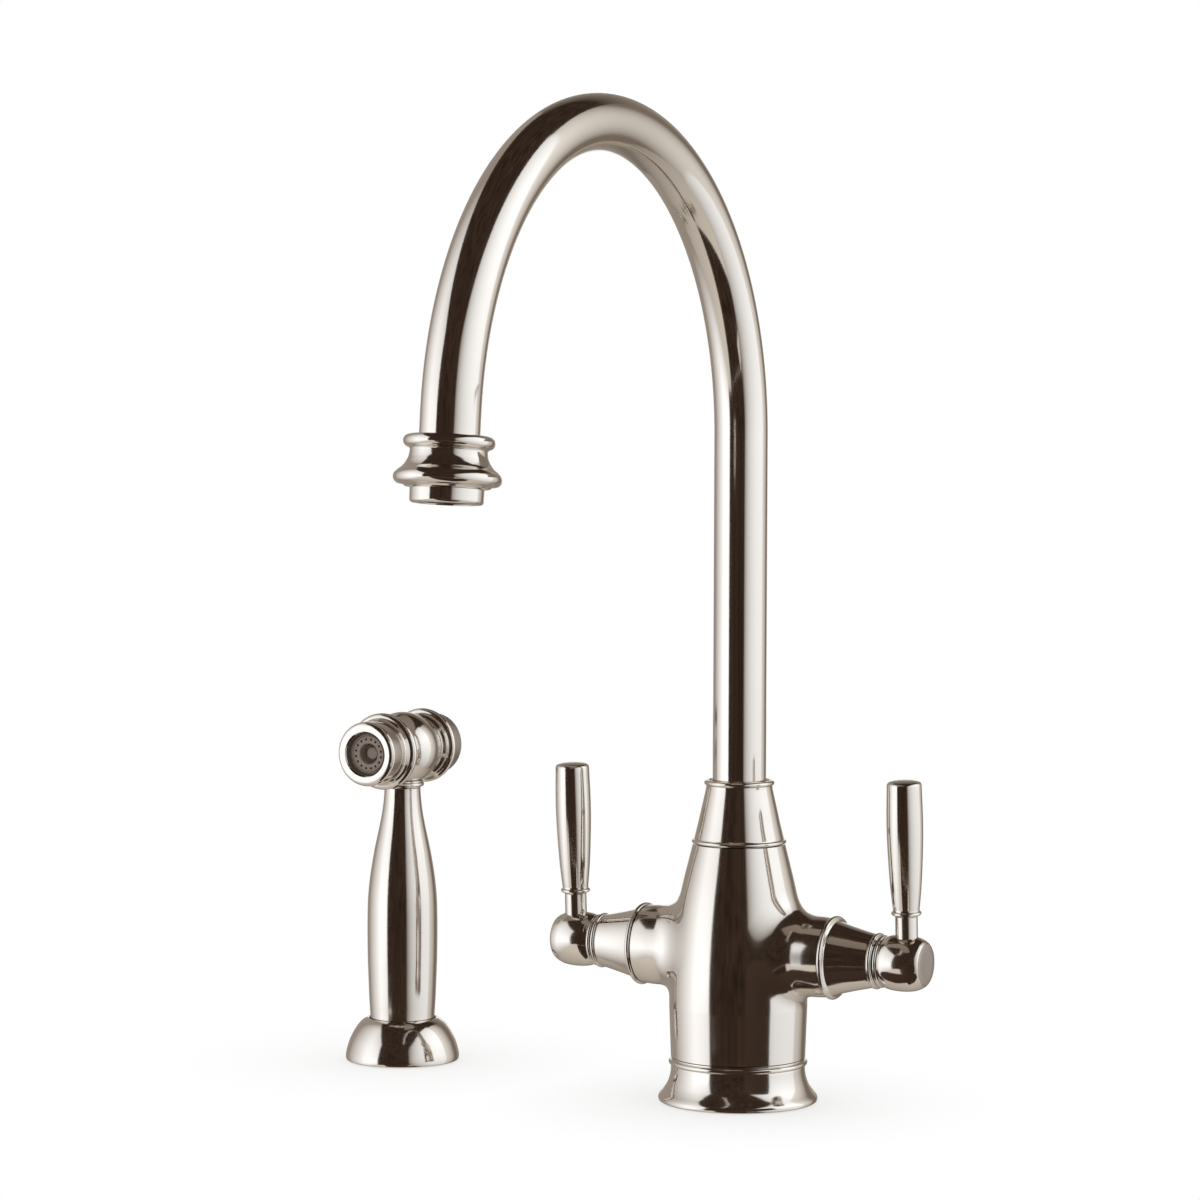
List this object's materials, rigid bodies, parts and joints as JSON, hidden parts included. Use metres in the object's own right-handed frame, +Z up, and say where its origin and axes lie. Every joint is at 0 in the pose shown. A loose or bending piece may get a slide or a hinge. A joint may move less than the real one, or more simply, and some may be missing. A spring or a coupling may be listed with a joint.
{
  "type": "side spray kitchen faucet",
  "caption": "Two lever kitchen mixer tap with a tall swivelling swan-neck spout and a pull-up side spray in its own deck holder.",
  "frame": {"origin": "on the deck under the middle of the tap's body, at the underside of its foot", "axes": "+Z up, -Y towards the user along the spout, +X to the user's right along the levers' axis, the side spray at -X"},
  "size_m": [0.2558, 0.2846, 0.3703],
  "materials": {
    "nickel": "polished nickel plate",
    "satin_nickel": "satin nickel plate",
    "brass": "machined",
    "steel": "drawn or turned",
    "rubber": "moulded",
    "ceramic": "ground and lapped",
    "bearing_plastic": "moulded",
    "spray_plastic": "moulded"
  },
  "bodies": {
    "tap_body": {"base_flange": "nickel", "base_gasket": "rubber", "body_casting": "nickel", "diverter_body": "bearing_plastic", "neck_cone": "nickel", "neck_bush": "bearing_plastic", "slip_ring": "bearing_plastic", "hot_port_seal": "rubber", "hot_disc_fixed": "ceramic", "hot_cartridge_body": "brass", "hot_valve_shroud": "nickel", "cold_port_seal": "rubber", "cold_disc_fixed": "ceramic", "cold_cartridge_body": "brass", "cold_valve_shroud": "nickel", "spray_holder": "nickel", "holder_gasket": "rubber", "holder_bush": "bearing_plastic"},
    "diverter": {"diverter_piston": "brass"},
    "spout": {"spout_spigot": "brass", "spigot_oring_lower": "rubber", "spigot_oring_upper": "rubber", "spout_tube": "nickel", "nozzle_collar": "nickel", "aerator_washer": "rubber", "aerator_housing": "nickel", "aerator_insert": "spray_plastic"},
    "hot_lever": {"hot_disc_turning": "ceramic", "hot_spindle": "brass", "hot_lever_hub": "nickel", "hot_hub_screw": "steel", "hot_hub_cap": "satin_nickel", "hot_lever_stem": "nickel", "hot_lever_grip": "nickel"},
    "cold_lever": {"cold_disc_turning": "ceramic", "cold_spindle": "brass", "cold_lever_hub": "nickel", "cold_hub_screw": "steel", "cold_hub_cap": "satin_nickel", "cold_lever_stem": "nickel", "cold_lever_grip": "nickel"},
    "hose_end": {"hose_connector": "brass", "hose_washer": "rubber"},
    "handset": {"spray_handle": "nickel", "handle_collar": "nickel", "spray_head": "nickel", "gland_seal": "rubber", "spray_barrel": "nickel", "spray_plate": "spray_plastic", "plate_seal": "rubber", "stream_plug": "spray_plastic", "rear_ring": "nickel", "return_spring": "steel"},
    "button": {"thumb_button": "satin_nickel", "valve_plunger": "brass", "plunger_seal": "rubber"}
  },
  "joints": [
    {"name": "spout_swivel", "type": "hinge", "parent": "tap_body", "child": "spout", "pos_m": [0, 0, 0.09], "axis": [0, 0, 1], "continuous": true},
    {"name": "hot_lever_turn", "type": "hinge", "parent": "tap_body", "child": "hot_lever", "pos_m": [0, 0, 0.0566], "axis": [1, 0, 0], "range_deg": [0, 90]},
    {"name": "cold_lever_turn", "type": "hinge", "parent": "tap_body", "child": "cold_lever", "pos_m": [0, 0, 0.0566], "axis": [1, 0, 0], "range_deg": [0, 90]},
    {"name": "diverter_lift", "type": "slide", "parent": "tap_body", "child": "diverter", "axis": [0, 0, 1], "range_m": [0, 0.0025]},
    {"name": "spray_lift", "type": "slide", "parent": "tap_body", "child": "hose_end", "axis": [0, 0, 1], "range_m": [0, 0.15]},
    {"name": "handset_swivel", "type": "hinge", "parent": "hose_end", "child": "handset", "pos_m": [-0.1567, 0.0181, 0.009], "axis": [0, 0, 1], "continuous": true},
    {"name": "button_press", "type": "slide", "parent": "handset", "child": "button", "axis": [0, -1, 0], "range_m": [0, 0.003], "stiffness_N_per_m": 800, "springref_m": -0.004, "deforming": ["return_spring"]}
  ]
}
